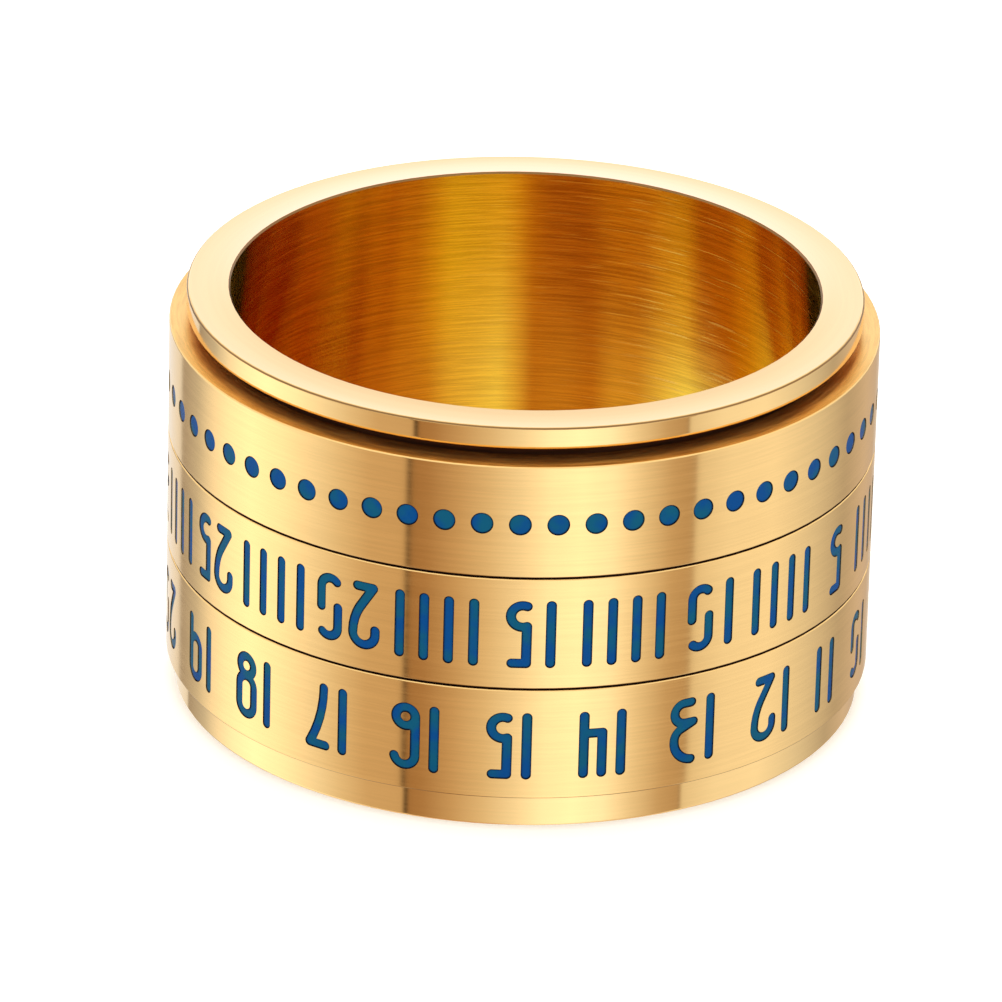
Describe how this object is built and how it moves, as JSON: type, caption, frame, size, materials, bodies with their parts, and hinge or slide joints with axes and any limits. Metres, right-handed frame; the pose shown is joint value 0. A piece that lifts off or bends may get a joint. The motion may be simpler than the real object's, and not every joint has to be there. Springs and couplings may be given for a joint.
{
  "type": "row counter ring",
  "caption": "Knitting row counter worn as a finger ring: dotted, tally and numbered bands spin on a gold-plated steel core.",
  "frame": {"origin": "centre of the ring's lower end face, on the ring axis; the ring stands on its flange", "axes": "+Z along the ring axis towards the retaining collar, -Y towards the front, where both 15s stand at rest"},
  "size_m": [0.023, 0.0228, 0.0137],
  "materials": {
    "core_gold": "gold-plated stainless steel, circumferentially brushed bore, polished flange",
    "collar_gold": "gold-plated stainless steel, mirror-polished",
    "band_gold": "gold-plated stainless steel, fine circumferential satin",
    "blue_enamel": "glossy cobalt-blue resin enamel"
  },
  "bodies": {
    "core": {"core_sleeve": "core_gold", "retaining_collar": "collar_gold"},
    "dot_spinner": {"dot_band": "band_gold", "dot_enamel": "blue_enamel"},
    "tally_spinner": {"tally_band": "band_gold", "tally_tick_enamel": "blue_enamel", "tally_enamel_05": "blue_enamel", "tally_enamel_10": "blue_enamel", "tally_enamel_15": "blue_enamel", "tally_enamel_20": "blue_enamel", "tally_enamel_25": "blue_enamel", "tally_enamel_30": "blue_enamel", "tally_enamel_35": "blue_enamel", "tally_enamel_40": "blue_enamel", "tally_enamel_45": "blue_enamel", "tally_enamel_50": "blue_enamel", "tally_enamel_55": "blue_enamel", "tally_enamel_60": "blue_enamel"},
    "number_spinner": {"number_band": "band_gold", "number_enamel_01": "blue_enamel", "number_enamel_02": "blue_enamel", "number_enamel_03": "blue_enamel", "number_enamel_04": "blue_enamel", "number_enamel_05": "blue_enamel", "number_enamel_06": "blue_enamel", "number_enamel_07": "blue_enamel", "number_enamel_08": "blue_enamel", "number_enamel_09": "blue_enamel", "number_enamel_10": "blue_enamel", "number_enamel_11": "blue_enamel", "number_enamel_12": "blue_enamel", "number_enamel_13": "blue_enamel", "number_enamel_14": "blue_enamel", "number_enamel_15": "blue_enamel", "number_enamel_16": "blue_enamel", "number_enamel_17": "blue_enamel", "number_enamel_18": "blue_enamel", "number_enamel_19": "blue_enamel", "number_enamel_20": "blue_enamel", "number_enamel_21": "blue_enamel", "number_enamel_22": "blue_enamel", "number_enamel_23": "blue_enamel", "number_enamel_24": "blue_enamel"}
  },
  "joints": [
    {"name": "dot_band_spin", "type": "hinge", "parent": "core", "child": "dot_spinner", "pos_m": [0, 0, 0], "axis": [0, 0, 1], "continuous": true},
    {"name": "tally_band_spin", "type": "hinge", "parent": "core", "child": "tally_spinner", "pos_m": [0, 0, 0], "axis": [0, 0, 1], "continuous": true},
    {"name": "number_band_spin", "type": "hinge", "parent": "core", "child": "number_spinner", "pos_m": [0, 0, 0], "axis": [0, 0, 1], "continuous": true}
  ]
}
